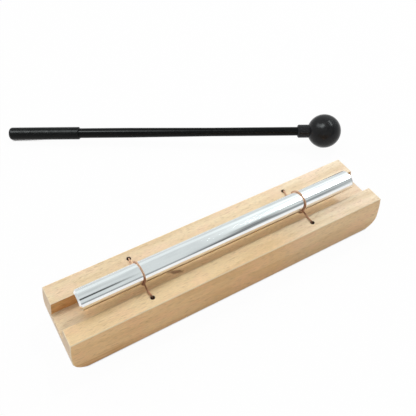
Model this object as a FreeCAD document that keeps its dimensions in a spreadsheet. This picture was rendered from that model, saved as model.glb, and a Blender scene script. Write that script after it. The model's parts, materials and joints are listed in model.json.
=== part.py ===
import FreeCAD, Part
import Sketcher
import math
import os

# Hand chime: a beech block with a groove, a sounding rod slung over the groove on two knotted
# cords, and a ball-headed mallet that lies beside it.
#
# Frame: the origin is the centre of the block's underside, +X runs along the block, +Y away from
# the near side and +Z up. Lengths are in millimetres and angles in degrees.

Vector = FreeCAD.Vector

# Driving sizes. A name that ends in angle is in degrees, and all the others are lengths.
SIZES = {
    # Beech block
    "block_length": 200.0,
    "block_width": 41.0,
    "block_height": 25.0,
    "end_bow": 1.65,
    "end_bow_height": 8.8,
    "edge_round": 0.6,
    "groove_width": 16.9,
    "groove_depth": 8.0,
    "groove_offset": 0.93,
    "groove_edge_round": 0.4,
    # Sounding rod
    "rod_diameter": 12.0,
    "rod_length": 175.7,
    "rod_shift": -0.25,
    "rod_offset": 1.6,
    "rod_rise": 0.5,
    "rod_chamfer": 1.0,
    # Cords, and the holes and recesses that hold them
    "cord_diameter": 1.0,
    "cord_gap": 0.05,
    "cord_hole_diameter": 2.4,
    "cord_hole_chamfer": 0.3,
    "sling_spacing": 104.4,
    "cord_hole_spacing": 29.6,
    "rim_bend": 1.2,
    "rim_lift": 0.4,
    "knot_recess_diameter": 7.0,
    "knot_recess_depth": 5.0,
    "knot_diameter": 3.4,
    "knot_tail": 1.2,
    # Mallet, measured along its own axis from the grip's outer end
    "mallet_reach": 227.7,
    "ball_diameter": 23.84,
    "collar_diameter": 9.4,
    "collar_length": 8.05,
    "collar_chamfer": 0.7,
    "head_bore_depth": 16.0,
    "grip_diameter": 8.96,
    "grip_length": 51.1,
    "grip_end_wall": 2.6,
    "grip_end_round": 2.2,
    "grip_mouth_round": 0.7,
    "shaft_grip_diameter": 7.1,
    "shaft_head_diameter": 6.2,
    "shaft_taper_start": 88.0,
    "shaft_taper_length": 60.0,
    "shaft_gap": 0.02,
    "mallet_x": -73.7,
    "mallet_y": 176.8,
    "mallet_heading_angle": -31.2,
    # A cut runs this far past what it cuts
    "overrun": 2.0,
}

# A cord's turn round the rod, as stations of (angle round the rod from its far side, lift off the
# rod, way along the rod from the cord's holes). The last two are shares of the cord's diameter.
LEFT_TURN_SHARES = (
    (274.5, 0.0, -1.4),
    (236, 0.01, -1.42),
    (200, 0.02, -1.35),
    (165, 0.03, -0.32),
    (90, 0.0, -0.5),
    (30, 0.02, -1.0),
    (-35, 0.03, -0.2),
    (-94.5, 0.0, 0.15),
)
RIGHT_TURN_SHARES = (
    (274.5, 0.0, -2.95),
    (236, 0.02, -2.97),
    (198, 0.04, -2.8),
    (180, 0.06, -1.85),
    (160, 0.06, -1.0),
    (90, 0.0, -1.05),
    (45, 0.04, -2.0),
    (0, 0.04, -1.6),
    (-45, 0.04, -0.4),
    (-94.5, 0.0, 0.45),
)

# Two lengths count as the same when they differ by less than this share of the smaller size.
MATCH_SHARE = 0.02
# A cord is compared with itself only where its two points lie this many diameters apart along it.
APART_SHARE = 5.0
# A cord's path is read at points this share of its diameter apart.
STEP_SHARE = 0.2
# Two directions within this much of each other are one direction.
STRAIGHT = 1e-6


class Size:
    """A number together with the spreadsheet expression that gives it."""

    def __init__(self, number, text):
        self.number = number
        self.text = text

    def __add__(self, other):
        other = as_size(other)
        return Size(self.number + other.number, "({} + {})".format(self.text, other.text))

    def __sub__(self, other):
        other = as_size(other)
        return Size(self.number - other.number, "({} - {})".format(self.text, other.text))

    def __mul__(self, other):
        other = as_size(other)
        return Size(self.number * other.number, "({} * {})".format(self.text, other.text))

    def __truediv__(self, other):
        other = as_size(other)
        return Size(self.number / other.number, "({} / {})".format(self.text, other.text))

    def __neg__(self):
        return Size(-self.number, "(0 - {})".format(self.text))


class Sizes:
    """The sheet's cells: each alias is an attribute that holds a Size."""

    def __init__(self, sheet):
        for name in SIZES:
            setattr(self, name, Size(float(sheet.get(name)), "Sizes.{}".format(name)))


def as_size(value):
    """Gives a plain number the same form as a size."""
    return value if isinstance(value, Size) else Size(float(value), repr(value))


def root(value):
    """The square root of a size."""
    return Size(math.sqrt(value.number), "sqrt({})".format(value.text))


def make_sheet(doc):
    """Writes the driving sizes into a spreadsheet, one alias each."""
    sheet = doc.addObject("Spreadsheet::Sheet", "Sizes")
    for row, (name, number) in enumerate(SIZES.items(), start=1):
        sheet.set("A{}".format(row), name)
        sheet.set("B{}".format(row), repr(number))
        sheet.setAlias("B{}".format(row), name)
    doc.recompute()
    return sheet


def new_body(doc, name):
    """Adds an empty body whose label names its file."""
    body = doc.addObject("PartDesign::Body", name)
    body.Label = name
    return body


def new_sketch(body, name, role):
    """Adds a sketch on one of the body's own origin planes."""
    sketch = body.newObject("Sketcher::SketchObject", name)
    plane = next(item for item in body.Origin.OriginFeatures if item.Role == role)
    sketch.AttachmentSupport = [(plane, "")]
    sketch.MapMode = "FlatFace"
    return sketch


def constrain(sketch, label, size, kind, *places):
    """Adds a constraint of its own name and binds it to a size."""
    size = as_size(size)
    index = sketch.addConstraint(Sketcher.Constraint(kind, *places, size.number))
    sketch.renameConstraint(index, label)
    if size.number:
        sketch.setExpression("Constraints." + label, size.text)


def hold_point(sketch, label, place, edge, end):
    """Holds one point of a sketch at a place given in sizes."""
    constrain(sketch, label + "_x", place[0], "DistanceX", -1, 1, edge, end)
    constrain(sketch, label + "_y", place[1], "DistanceY", -1, 1, edge, end)


def minor_arc(start, end, radius, turns_left):
    """The shorter arc between two points of a sketch."""
    chord = end - start
    side = Vector(-chord.y, chord.x, 0).normalize()
    rise = math.sqrt(max(radius * radius - chord.Length * chord.Length / 4, 0.0))
    centre = (start + end) / 2 + side * (rise if turns_left else -rise)
    first, last = (start, end) if turns_left else (end, start)
    begin = math.atan2(first.y - centre.y, first.x - centre.x)
    finish = math.atan2(last.y - centre.y, last.x - centre.x)
    if finish < begin:
        finish += 2 * math.pi
    return Part.ArcOfCircle(Part.Circle(centre, Vector(0, 0, 1), radius), begin, finish)


def draw_outline(sketch, corners, arcs=None):
    """Draws a closed outline through corners given in sizes.

    arcs gives, for the number of an edge, its radius and whether it turns left on its way.
    """
    arcs = arcs or {}
    points = [Vector(as_size(x).number, as_size(y).number, 0) for x, y in corners]
    ends = []
    for number, start in enumerate(points):
        end = points[(number + 1) % len(points)]
        if number in arcs:
            radius, turns_left = arcs[number]
            edge = sketch.addGeometry(minor_arc(start, end, radius.number, turns_left), False)
            ends.append((edge, 1, 2) if turns_left else (edge, 2, 1))
        else:
            edge = sketch.addGeometry(Part.LineSegment(start, end), False)
            ends.append((edge, 1, 2))
    for number, (edge, head, tail) in enumerate(ends):
        following, next_head, _ = ends[(number + 1) % len(ends)]
        sketch.addConstraint(Sketcher.Constraint("Coincident", edge, tail, following, next_head))
        hold_point(sketch, "corner{}".format(number), corners[number], edge, head)
    for number, (radius, _) in arcs.items():
        constrain(sketch, "radius{}".format(number), radius, "Radius", ends[number][0])


def draw_circles(sketch, centres, diameter):
    """Draws equal circles at centres given in sizes."""
    for number, centre in enumerate(centres):
        middle = Vector(as_size(centre[0]).number, as_size(centre[1]).number, 0)
        circle = Part.Circle(middle, Vector(0, 0, 1), diameter.number / 2)
        edge = sketch.addGeometry(circle, False)
        hold_point(sketch, "centre{}".format(number), centre, edge, 3)
        constrain(sketch, "diameter{}".format(number), diameter, "Diameter", edge)


def pad(body, sketch, length):
    """Pads a sketch alike to both sides of its plane."""
    feature = body.newObject("PartDesign::Pad", sketch.Name + "_pad")
    feature.Profile = sketch
    feature.SideType = "Symmetric"
    feature.setExpression("Length", length.text)
    return feature


def pocket(body, sketch, length, both_sides=False):
    """Cuts a sketch out along its plane's normal, or alike to both sides of the plane."""
    body.Document.recompute()
    before = body.Tip.Shape.Volume
    feature = body.newObject("PartDesign::Pocket", sketch.Name + "_cut")
    feature.Profile = sketch
    feature.SideType = "Symmetric" if both_sides else "One side"
    feature.Reversed = not both_sides
    feature.setExpression("Length", length.text)
    body.Document.recompute()
    if feature.Shape.Volume >= before:
        raise RuntimeError(sketch.Name + " cuts nothing")
    return feature


def revolve(body, sketch):
    """Turns a half profile all the way round the sketch's horizontal axis."""
    feature = body.newObject("PartDesign::Revolution", sketch.Name + "_turn")
    feature.Profile = sketch
    feature.ReferenceAxis = (sketch, ["H_Axis"])
    feature.Angle = 360
    return feature


def dress_edges(body, kind, name, wanted, path, size):
    """Rounds or chamfers the edges of the body's last feature that the test picks out."""
    body.Document.recompute()
    base = body.Tip
    edges = enumerate(base.Shape.Edges, start=1)
    chosen = ["Edge{}".format(number) for number, edge in edges if wanted(edge)]
    feature = body.newObject(kind, name)
    feature.Base = (base, chosen)
    feature.setExpression(path, size.text)
    return feature


def lies_at(edge, axis, place, slack):
    """Tells whether a whole edge has this place on one axis."""
    low = getattr(edge.BoundBox, axis + "Min")
    high = getattr(edge.BoundBox, axis + "Max")
    return abs(low - place.number) < slack and abs(high - place.number) < slack


def make_block(doc, z):
    """The beech block: bowed ends, eased edges, a groove, and a hole and a recess for each knot."""
    body = new_body(doc, "block")
    slack = z.edge_round.number * MATCH_SHARE
    half = z.block_length / 2
    widest = half + z.end_bow
    foot = widest - z.end_bow_height
    upper = z.block_height - z.end_bow_height
    bow_radius = (upper * upper + z.end_bow * z.end_bow) / (z.end_bow * 2)

    side = new_sketch(body, "side_profile", "XZ_Plane")
    corners = [
        (-foot, 0),
        (foot, 0),
        (widest, z.end_bow_height),
        (half, z.block_height),
        (-half, z.block_height),
        (-widest, z.end_bow_height),
    ]
    lower_arc, upper_arc = (z.end_bow_height, True), (bow_radius, True)
    draw_outline(side, corners, {1: lower_arc, 2: upper_arc, 4: upper_arc, 5: lower_arc})
    pad(body, side, z.block_width)

    def is_corner(edge):
        on_seam = lies_at(edge, "Z", as_size(0), slack) or lies_at(edge, "Z", z.end_bow_height, slack)
        return not (on_seam and edge.BoundBox.YLength > slack)

    dress_edges(body, "PartDesign::Fillet", "eased_edges", is_corner, "Radius", z.edge_round)

    back = z.groove_width / 2 - z.groove_offset
    front = back - z.groove_width
    floor = z.block_height - z.groove_depth
    above = z.block_height + z.overrun
    groove = new_sketch(body, "groove_profile", "YZ_Plane")
    draw_outline(groove, [(front, floor), (back, floor), (back, above), (front, above)])
    pocket(body, groove, (widest + z.overrun) * 2, both_sides=True)

    def is_groove_edge(edge):
        on_wall = lies_at(edge, "Y", back, slack) or lies_at(edge, "Y", front, slack)
        return on_wall and lies_at(edge, "Z", z.block_height, slack)

    dress_edges(
        body, "PartDesign::Fillet", "eased_groove", is_groove_edge, "Radius", z.groove_edge_round
    )

    x, y = z.sling_spacing / 2, z.cord_hole_spacing / 2
    places = [(x, y), (-x, y), (-x, -y), (x, -y)]
    holes = new_sketch(body, "cord_holes", "XY_Plane")
    draw_circles(holes, places, z.cord_hole_diameter)
    pocket(body, holes, above)
    recesses = new_sketch(body, "knot_recesses", "XY_Plane")
    draw_circles(recesses, places, z.knot_recess_diameter)
    pocket(body, recesses, z.knot_recess_depth)

    def is_hole_rim(edge):
        is_round = abs(edge.BoundBox.XLength - z.cord_hole_diameter.number) < slack
        return is_round and lies_at(edge, "Z", z.block_height, slack)

    dress_edges(
        body, "PartDesign::Chamfer", "countersunk_holes", is_hole_rim, "Size", z.cord_hole_chamfer
    )


def make_rod(doc, z):
    """The sounding rod: a solid round bar, chamfered at both ends."""
    body = new_body(doc, "chime_rod")
    section = new_sketch(body, "rod_section", "YZ_Plane")
    draw_circles(section, [(0, 0)], z.rod_diameter)
    pad(body, section, z.rod_length)
    slack = z.rod_chamfer.number * MATCH_SHARE

    def is_end(edge):
        half = z.rod_length / 2
        return lies_at(edge, "X", half, slack) or lies_at(edge, "X", -half, slack)

    dress_edges(body, "PartDesign::Chamfer", "rod_ends", is_end, "Size", z.rod_chamfer)
    body.setExpression("Placement.Base.x", z.rod_shift.text)
    body.setExpression("Placement.Base.y", (-z.rod_offset).text)
    body.setExpression("Placement.Base.z", rod_height(z).text)


def rod_height(z):
    """The height of the rod's axis above the underside of the block."""
    return z.block_height + z.rod_rise + z.rod_diameter / 2


def knot_height(z):
    """The height of the middle of each knot above the underside of the block."""
    return z.knot_recess_depth - z.cord_gap - z.knot_diameter / 2


def make_shaft(doc, z):
    """The mallet's shaft: full in the grip, then tapered towards the head."""
    body = new_body(doc, "mallet_shaft")
    start = z.grip_end_wall + z.shaft_gap
    end = head_start(z) + z.head_bore_depth - z.shaft_gap
    thick, thin = z.shaft_grip_diameter / 2, z.shaft_head_diameter / 2
    taper_end = z.shaft_taper_start + z.shaft_taper_length
    profile = new_sketch(body, "shaft_profile", "XZ_Plane")
    corners = [
        (start, 0),
        (end, 0),
        (end, thin),
        (taper_end, thin),
        (z.shaft_taper_start, thick),
        (start, thick),
    ]
    draw_outline(profile, corners)
    revolve(body, profile)


def make_grip(doc, z):
    """The grip: a sleeve over the shaft, closed and rounded at its outer end."""
    body = new_body(doc, "mallet_grip")
    outer = z.grip_diameter / 2
    bore = z.shaft_grip_diameter / 2 + z.shaft_gap
    profile = new_sketch(body, "grip_profile", "XZ_Plane")
    corners = [
        (0, 0),
        (z.grip_end_wall, 0),
        (z.grip_end_wall, bore),
        (z.grip_length, bore),
        (z.grip_length, outer - z.grip_mouth_round),
        (z.grip_length - z.grip_mouth_round, outer),
        (z.grip_end_round, outer),
        (0, outer - z.grip_end_round),
    ]
    draw_outline(profile, corners, {4: (z.grip_mouth_round, True), 6: (z.grip_end_round, True)})
    revolve(body, profile)


def head_start(z):
    """Where the head's collar starts, along the mallet's axis."""
    ball, collar = z.ball_diameter / 2, z.collar_diameter / 2
    neck = root(ball * ball - collar * collar)
    return z.mallet_reach - neck - z.collar_length


def make_head(doc, z):
    """The mallet's head: a ball and its collar in one moulding, with a blind bore for the shaft."""
    body = new_body(doc, "mallet_head")
    ball, collar = z.ball_diameter / 2, z.collar_diameter / 2
    bore = z.shaft_head_diameter / 2 + z.shaft_gap
    start = head_start(z)
    profile = new_sketch(body, "head_profile", "XZ_Plane")
    corners = [
        (start + z.head_bore_depth, 0),
        (z.mallet_reach + ball, 0),
        (start + z.collar_length, collar),
        (start + z.collar_chamfer, collar),
        (start, collar - z.collar_chamfer),
        (start, bore),
        (start + z.head_bore_depth, bore),
    ]
    draw_outline(profile, corners, {1: (ball, True)})
    revolve(body, profile)


def lay_mallet(doc, z):
    """Lays the mallet's pieces on the ground: on the ball, and on the grip where its end rounds."""
    ball, grip = z.ball_diameter / 2, z.grip_diameter / 2
    span = z.mallet_reach - z.grip_end_round
    slope = "(asin({0} / hypot({1}; {2})) - atan({2} / {1}))".format(ball.text, span.text, grip.text)
    height = "({} - {} * sin{})".format(ball.text, z.mallet_reach.text, slope)
    place = "create(<<vector>>; {}; {}; {})".format(z.mallet_x.text, z.mallet_y.text, height)
    turn = "create(<<rotation>>; {}; -1 * {}; 0)".format(z.mallet_heading_angle.text, slope)
    for name in ("mallet_shaft", "mallet_grip", "mallet_head"):
        body = doc.getObject(name)
        body.setExpression("Placement", "create(<<placement>>; {}; {})".format(place, turn))


def turn_station(z, side, station):
    """The place of one station of a cord's turn round the rod."""
    angle, lift_share, along_share = station
    cord = z.cord_diameter.number
    reach = z.rod_diameter.number / 2 + z.cord_gap.number + cord / 2 + lift_share * cord
    turned = math.radians(angle)
    return Vector(
        side * z.sling_spacing.number / 2 + along_share * cord,
        reach * math.cos(turned) - z.rod_offset.number,
        reach * math.sin(turned) + rod_height(z).number,
    )


def circle_tangent(before, here, after):
    """The direction at the middle one of three points on the circle through them."""
    come, go = here - before, after - here
    return (come / come.dot(come) + go / go.dot(go)).normalize()


def cord_route(z, side, shares):
    """The points of a cord from tail to tail, each with its direction."""
    up = Vector(0, 0, 1)
    cord = z.cord_diameter.number
    bend = z.rim_bend.number
    tail = knot_height(z).number - z.knot_diameter.number / 2 - z.knot_tail.number
    rim = z.block_height.number + cord / 2 + z.rim_lift.number
    turn = [turn_station(z, side, station) for station in shares]

    def leg(way, target):
        """Up out of a hole, over its rim and straight to the rod."""
        foot = Vector(side * z.sling_spacing.number / 2, way * z.cord_hole_spacing.number / 2, tail)
        below = Vector(foot.x, foot.y, rim - bend)
        level = Vector(target.x - foot.x, target.y - foot.y, 0).normalize()
        middle = below + level * bend
        sight = target - middle
        slope = math.atan2(sight.z, sight.dot(level)) - math.asin(bend / sight.Length)
        way_out = level * math.cos(slope) + up * math.sin(slope)
        over = middle + (up * math.cos(slope) - level * math.sin(slope)) * bend
        return foot, below, over, way_out

    foot, below, over, way_out = leg(1, turn[0])
    last_foot, last_below, last_over, last_way_out = leg(-1, turn[-1])
    route = [(foot, up), (below, up), (over, way_out), (turn[0], way_out)]
    for before, here, after in zip(turn, turn[1:], turn[2:]):
        route.append((here, circle_tangent(before, here, after)))
    route += [(turn[-1], -last_way_out), (last_over, -last_way_out)]
    route += [(last_below, -up), (last_foot, -up)]
    return route


def arc_or_line(start, direction, end):
    """One edge that leaves start in this direction and reaches end, with its radius if it bends."""
    chord = end - start
    along = chord / chord.Length
    side = direction - along * direction.dot(along)
    if side.Length < STRAIGHT:
        return Part.LineSegment(start, end).toShape(), None
    half_turn = math.atan2(side.Length, direction.dot(along))
    rise = chord.Length / 2 * math.tan(half_turn / 2)
    middle = (start + end) / 2 + side.normalize() * rise
    return Part.Arc(start, middle, end).toShape(), chord.Length / 2 / math.sin(half_turn)


def biarc(start, start_way, end, end_way):
    """Two arcs from start to end that meet in one direction, or one where that is enough."""
    chord = end - start
    both = start_way + end_way
    if both.getAngle(chord) < STRAIGHT:
        return [arc_or_line(start, start_way, end)]
    spread = 2 * (1 - start_way.dot(end_way))
    pull = chord.dot(both)
    if spread < STRAIGHT:
        reach = chord.dot(chord) / (2 * pull)
    else:
        reach = (math.sqrt(pull * pull + spread * chord.dot(chord)) - pull) / spread
    joint = (start + end + (start_way - end_way) * reach) / 2
    first = arc_or_line(start, start_way, joint)
    back, radius = arc_or_line(end, -end_way, joint)
    if radius is None:
        return [first, (Part.LineSegment(joint, end).toShape(), None)]
    middle = back.valueAt((back.FirstParameter + back.LastParameter) / 2)
    return [first, (Part.Arc(joint, middle, end).toShape(), radius)]


def least_gap(points, diameter, step):
    """The least gap between two stretches of one cord, read at evenly spaced points."""
    apart = int(APART_SHARE * diameter / step)
    gap = math.inf
    for number, point in enumerate(points):
        for other in points[number + apart:]:
            gap = min(gap, point.distanceToPoint(other))
    return gap - diameter


def make_cord(doc, z, name, side, shares):
    """One cord: knotted in its recess, up a hole, round the rod and down the other hole."""
    cord = z.cord_diameter.number
    route = cord_route(z, side, shares)
    edges, radii = [], []
    for (start, start_way), (end, end_way) in zip(route, route[1:]):
        for edge, radius in biarc(start, start_way, end, end_way):
            edges.append(edge)
            if radius is not None:
                radii.append(radius)
    path = Part.Wire(edges)
    first, way = route[0]
    section = Part.Wire([Part.makeCircle(cord / 2, first, way)])
    tube = path.makePipeShell([section], True, False)
    wanted = math.pi * cord * cord / 4 * path.Length
    print("{}: length {:.1f}, volume {:.3f} of {:.3f}".format(name, path.Length, tube.Volume, wanted))
    print("{}: radii {}".format(name, ", ".join("{:.1f}".format(radius) for radius in radii)))
    step = cord * STEP_SHARE
    points = path.discretize(Distance=step)
    print("{}: least gap to itself {:.2f}".format(name, least_gap(points, cord, step)))
    axis_y, axis_z = -z.rod_offset.number, rod_height(z).number
    near = min(math.hypot(point.y - axis_y, point.z - axis_z) for point in points)
    print("{}: gap to the rod {:.3f}".format(name, near - cord / 2 - z.rod_diameter.number / 2))

    knots = []
    for foot in (route[0][0], route[-1][0]):
        middle = Vector(foot.x, foot.y, knot_height(z).number)
        knots.append(Part.makeSphere(z.knot_diameter.number / 2, middle))
    item = doc.addObject("Part::Feature", name)
    item.Label = name
    item.Shape = tube.fuse(knots)
    item.Placement = FreeCAD.Placement()


def check(doc):
    """Stops if an object failed or a sub-part isn't a valid solid."""
    for item in doc.Objects:
        if "Invalid" in item.State or "Error" in item.State:
            raise RuntimeError(item.Name + " failed")
    for item in sub_parts(doc):
        if item.Shape.isNull() or not item.Shape.isValid() or not item.Shape.Solids:
            raise RuntimeError(item.Label + " has no valid shape")


def sub_parts(doc):
    """The objects that are pieces of the chime."""
    return [item for item in doc.Objects if item.TypeId in ("PartDesign::Body", "Part::Feature")]


def main():
    """Builds every piece and writes it to its own file."""
    doc = FreeCAD.newDocument("hand_chime")
    z = Sizes(make_sheet(doc))
    make_block(doc, z)
    make_rod(doc, z)
    make_cord(doc, z, "cord_left", -1, LEFT_TURN_SHARES)
    make_cord(doc, z, "cord_right", 1, RIGHT_TURN_SHARES)
    make_shaft(doc, z)
    make_grip(doc, z)
    make_head(doc, z)
    lay_mallet(doc, z)
    doc.recompute()
    check(doc)
    os.makedirs("parts", exist_ok=True)
    for item in sub_parts(doc):
        item.Shape.exportStep("parts/{}.step".format(item.Label))


main()
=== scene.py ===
"""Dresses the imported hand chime: a beech block, a rod slung on two knotted cords, and a mallet.

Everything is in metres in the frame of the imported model: the origin is the centre of the block's
underside, +X runs along the block, +Y away from the near side and +Z up. The class Places, and values
whose names end in mm, are in millimetres.
"""

from __future__ import annotations

import json
import logging
import math
from dataclasses import dataclass
from enum import Enum
from typing import Optional, Union

import bmesh
import bpy
from mathutils import Matrix, Vector
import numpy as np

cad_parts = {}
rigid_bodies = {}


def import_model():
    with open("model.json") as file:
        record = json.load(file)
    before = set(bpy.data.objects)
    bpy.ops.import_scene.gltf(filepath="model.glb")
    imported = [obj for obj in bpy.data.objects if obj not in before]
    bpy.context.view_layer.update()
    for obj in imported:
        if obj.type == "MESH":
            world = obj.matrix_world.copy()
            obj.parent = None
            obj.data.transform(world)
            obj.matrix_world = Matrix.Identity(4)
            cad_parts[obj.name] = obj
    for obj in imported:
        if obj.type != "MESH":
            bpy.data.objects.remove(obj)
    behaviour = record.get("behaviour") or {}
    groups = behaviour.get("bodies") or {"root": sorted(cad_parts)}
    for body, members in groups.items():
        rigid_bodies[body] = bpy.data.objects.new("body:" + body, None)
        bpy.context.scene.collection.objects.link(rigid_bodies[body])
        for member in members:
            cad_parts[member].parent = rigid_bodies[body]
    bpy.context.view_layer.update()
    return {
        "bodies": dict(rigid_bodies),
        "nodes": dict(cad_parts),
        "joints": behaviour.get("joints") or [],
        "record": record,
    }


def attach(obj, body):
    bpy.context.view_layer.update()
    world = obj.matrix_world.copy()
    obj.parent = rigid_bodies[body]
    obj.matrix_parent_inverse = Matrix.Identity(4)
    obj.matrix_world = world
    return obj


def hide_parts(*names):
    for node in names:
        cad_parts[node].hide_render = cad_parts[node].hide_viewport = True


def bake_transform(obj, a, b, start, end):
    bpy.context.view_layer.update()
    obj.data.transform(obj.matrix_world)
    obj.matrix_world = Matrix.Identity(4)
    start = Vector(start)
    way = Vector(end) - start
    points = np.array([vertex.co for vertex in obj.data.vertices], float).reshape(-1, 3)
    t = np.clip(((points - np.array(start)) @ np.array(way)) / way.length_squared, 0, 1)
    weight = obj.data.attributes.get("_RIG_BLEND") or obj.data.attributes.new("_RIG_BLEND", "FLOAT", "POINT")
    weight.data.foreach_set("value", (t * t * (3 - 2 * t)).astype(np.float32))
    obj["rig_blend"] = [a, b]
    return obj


LOG = logging.getLogger("hand_chime")
MM = 0.001

Socket = bpy.types.NodeSocket
Feed = Union[Socket, float, int, str, tuple, bpy.types.Material]
Colour = tuple[float, float, float]
Point = tuple[float, float, float]
Span = tuple[float, float]

NOWHERE: Point = (0.0, 0.0, 0.0)
WHITE: Colour = (1.0, 1.0, 1.0)


@dataclass(frozen=True)
class Places:
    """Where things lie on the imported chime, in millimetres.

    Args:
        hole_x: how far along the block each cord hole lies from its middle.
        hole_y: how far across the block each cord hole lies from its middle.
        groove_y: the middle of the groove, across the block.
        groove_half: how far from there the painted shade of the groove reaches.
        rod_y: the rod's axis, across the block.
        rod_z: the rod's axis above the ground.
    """

    hole_x: float = 52.2
    hole_y: float = 14.8
    groove_y: float = -0.93
    groove_half: float = 8.7
    rod_y: float = -1.6
    rod_z: float = 31.5


PLACES = Places()


def opaque(colour: Colour) -> tuple[float, float, float, float]:
    """A colour with full alpha."""
    return (*colour, 1.0)


# Node graphs


class NodeGraph:
    """A small builder for shader and geometry node trees."""

    def __init__(self, tree: bpy.types.NodeTree) -> None:
        """Starts from an empty tree."""
        self.tree = tree
        tree.nodes.clear()

    def node(self, kind: str, feeds: Optional[dict] = None, **settings) -> bpy.types.Node:
        """Adds a node.

        Args:
            kind: the node's type name.
            feeds: what goes into its inputs, by name or by number.
            settings: the node's own properties.

        Returns:
            The new node.
        """
        made = self.tree.nodes.new(kind)
        for name, value in settings.items():
            setattr(made, name, value)
        for key, value in (feeds or {}).items():
            self.feed(made.inputs[key], value)
        return made

    def feed(self, target: Socket, value: Feed) -> None:
        """Feeds an input.

        Args:
            target: the input.
            value: the output to link to it, or the value to set.
        """
        if isinstance(value, bpy.types.NodeSocket):
            self.tree.links.new(value, target)
        else:
            target.default_value = value

    def math(self, operation: str, first: Feed, second: Feed = 0.0) -> Socket:
        """Adds a math node and returns its result."""
        return self.node("ShaderNodeMath", {0: first, 1: second}, operation=operation).outputs[0]

    def product(self, *factors: Feed) -> Socket:
        """Multiplies several values.

        Args:
            factors: two values or more.

        Returns:
            Their product.
        """
        result = factors[0]
        for factor in factors[1:]:
            result = self.math("MULTIPLY", result, factor)
        return result

    def vector(self, operation: str, first: Feed, second: Feed = NOWHERE) -> Socket:
        """Adds a vector math node and returns its vector."""
        return self.node("ShaderNodeVectorMath", {0: first, 1: second}, operation=operation).outputs[0]

    def split(self, vector: Socket) -> tuple[Socket, Socket, Socket]:
        """The three components of a vector."""
        made = self.node("ShaderNodeSeparateXYZ", {0: vector})
        return made.outputs[0], made.outputs[1], made.outputs[2]

    def smooth(self, value: Feed, start: float, end: float, low: float = 0.0, high: float = 1.0) -> Socket:
        """Goes smoothly from low at start to high at end."""
        feeds = {"Value": value, "From Min": start, "From Max": end, "To Min": low, "To Max": high}
        return self.node("ShaderNodeMapRange", feeds, interpolation_type="SMOOTHSTEP").outputs["Result"]

    def window(self, value: Feed, centre: float, half: float, soft: float) -> Socket:
        """One inside centre ± half, falling to nothing over a soft edge."""
        away = self.math("ABSOLUTE", self.math("SUBTRACT", value, centre))
        return self.smooth(away, half, half + soft, 1.0, 0.0)

    def noise(self, vector: Socket, scale: float, detail: float = 2.0, distortion: float = 0.0) -> Socket:
        """A noise value around one half."""
        feeds = {"Vector": vector, "Scale": scale, "Detail": detail, "Distortion": distortion}
        return self.node("ShaderNodeTexNoise", feeds).outputs[0]

    def scaled(self, vector: Socket, scale: Point, place: Point = NOWHERE, turn: float = 0.0) -> Socket:
        """A vector moved, turned about Z and scaled by a Mapping node."""
        feeds = {"Vector": vector, "Location": place, "Rotation": (0.0, 0.0, turn), "Scale": scale}
        return self.node("ShaderNodeMapping", feeds).outputs[0]

    def mix(self, share: Feed, first: Feed, second: Feed, blend: str = "MIX") -> Socket:
        """Mixes two colours."""
        feeds = {0: share, 6: first, 7: second}
        return self.node("ShaderNodeMix", feeds, data_type="RGBA", blend_type=blend).outputs[2]

    def grey(self, value: Feed) -> Socket:
        """A grey as light as the value."""
        return self.node("ShaderNodeCombineColor", {0: value, 1: value, 2: value}).outputs[0]

    def bump(self, height: Socket, strength: float, distance: float) -> Socket:
        """A bumped normal."""
        feeds = {"Height": height, "Strength": strength, "Distance": distance}
        return self.node("ShaderNodeBump", feeds).outputs[0]


def new_material(name: str) -> tuple[bpy.types.Material, NodeGraph]:
    """Makes an empty node material.

    Args:
        name: the material's name.

    Returns:
        The material and a builder for its nodes.
    """
    material = bpy.data.materials.new(name)
    material.use_nodes = True
    return material, NodeGraph(material.node_tree)


def finish_surface(graph: NodeGraph, feeds: dict) -> None:
    """Ends a material with one principled shader."""
    shader = graph.node("ShaderNodeBsdfPrincipled", feeds)
    graph.node("ShaderNodeOutputMaterial", {"Surface": shader.outputs[0]})


def from_hole(g: NodeGraph, place: Socket) -> Socket:
    """Measures how far a place is from the axis of the nearest cord hole.

    Args:
        g: the material's graph.
        place: the place on the object.

    Returns:
        The distance in metres.
    """
    x, y, _ = g.split(place)
    along = g.math("SUBTRACT", g.math("ABSOLUTE", x), PLACES.hole_x * MM)
    across = g.math("SUBTRACT", g.math("ABSOLUTE", y), PLACES.hole_y * MM)
    squares = g.math("ADD", g.product(along, along), g.product(across, across))
    return g.math("SQRT", squares)


# Finishes


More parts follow.
